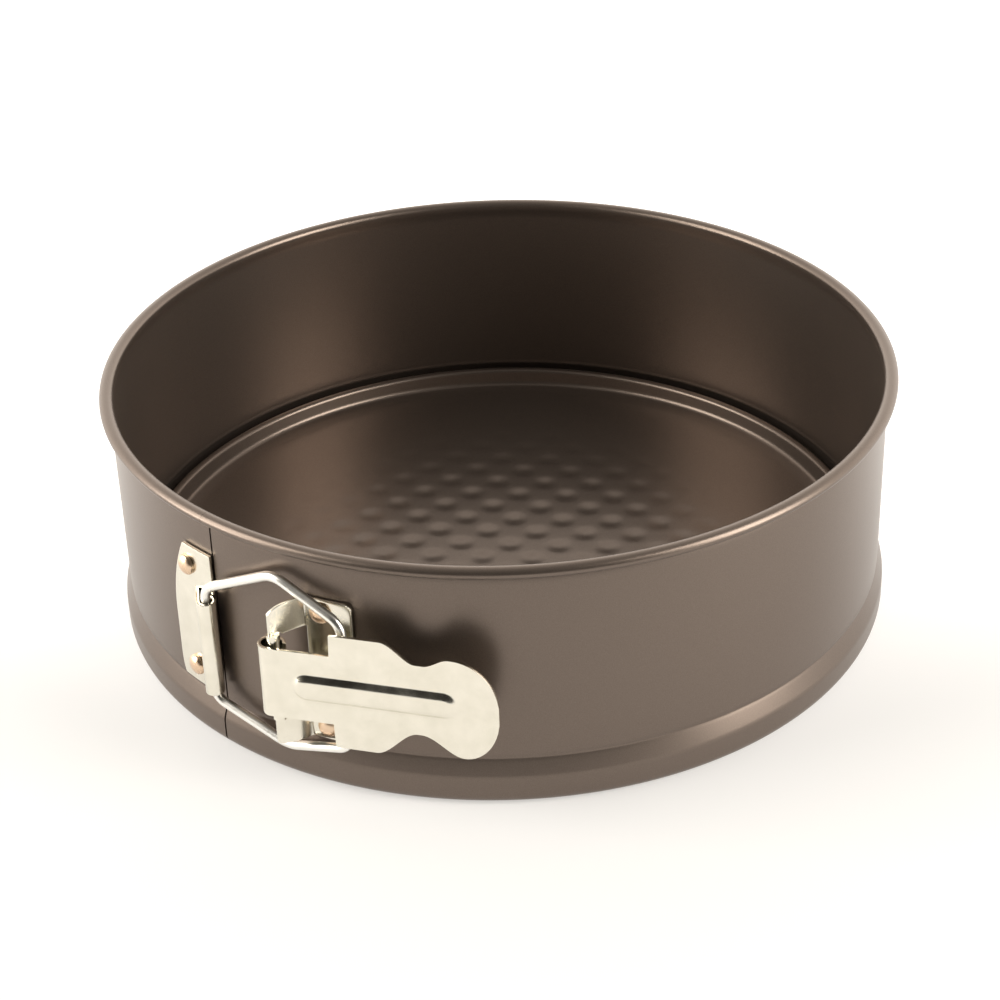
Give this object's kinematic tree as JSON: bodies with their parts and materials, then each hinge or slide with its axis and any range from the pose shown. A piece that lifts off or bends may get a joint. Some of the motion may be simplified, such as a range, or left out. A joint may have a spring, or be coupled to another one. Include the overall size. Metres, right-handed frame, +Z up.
{
  "type": "springform pan",
  "caption": "Round cake pan with an opening side ring, a loose dimpled base held in the ring's foot channel, and a lever latch with a wire bail.",
  "frame": {"origin": "middle of the whole outline, latch included, on the surface that the pan stands on", "axes": "+Z up along the pan's axis; -Y towards the latch's lever pivot; +X to the right seen from the latch"},
  "size_m": [0.2057, 0.2142, 0.0663],
  "materials": {
    "ring_coating": "satin champagne-brown non-stick coating with fine metallic flake",
    "base_coating": "satin champagne-brown non-stick coating, dimpled in the middle",
    "latch_steel": "bright zinc plating",
    "wire_steel": "bright zinc-plated wire",
    "rivet_steel": "satin, copper-washed"
  },
  "bodies": {
    "right_half": {"ring_band_right": "ring_coating", "base_plate": "base_coating", "lever_bracket": "latch_steel", "bracket_rivet_lower": "rivet_steel", "bracket_rivet_upper": "rivet_steel"},
    "left_half": {"ring_band_left": "ring_coating", "anchor_plate": "latch_steel", "anchor_rivet_lower": "rivet_steel", "anchor_rivet_upper": "rivet_steel"},
    "lever": {"clamp_lever": "latch_steel"},
    "bail": {"wire_bail": "wire_steel"}
  },
  "joints": [
    {"name": "lever_swing", "type": "hinge", "parent": "right_half", "child": "lever", "pos_m": [0, -0.10404, 0.0338], "axis": [0, 0, -1], "range_deg": [0, 125]},
    {"name": "ring_open", "type": "hinge", "parent": "right_half", "child": "left_half", "pos_m": [0, 0.10575, 0.0338], "axis": [0, 0, -1], "range_deg": [0, 3.7]},
    {"name": "bail_swing", "type": "hinge", "parent": "left_half", "child": "bail", "pos_m": [-0.02382, -0.09699, 0.0338], "axis": [0, 0, -1], "range_deg": [0, 30.5]}
  ],
  "couplings": [
    {"joint": "ring_open", "follows": "lever_swing", "ratio": 0.02896},
    {"joint": "bail_swing", "follows": "lever_swing", "ratio": 0.23872}
  ]
}
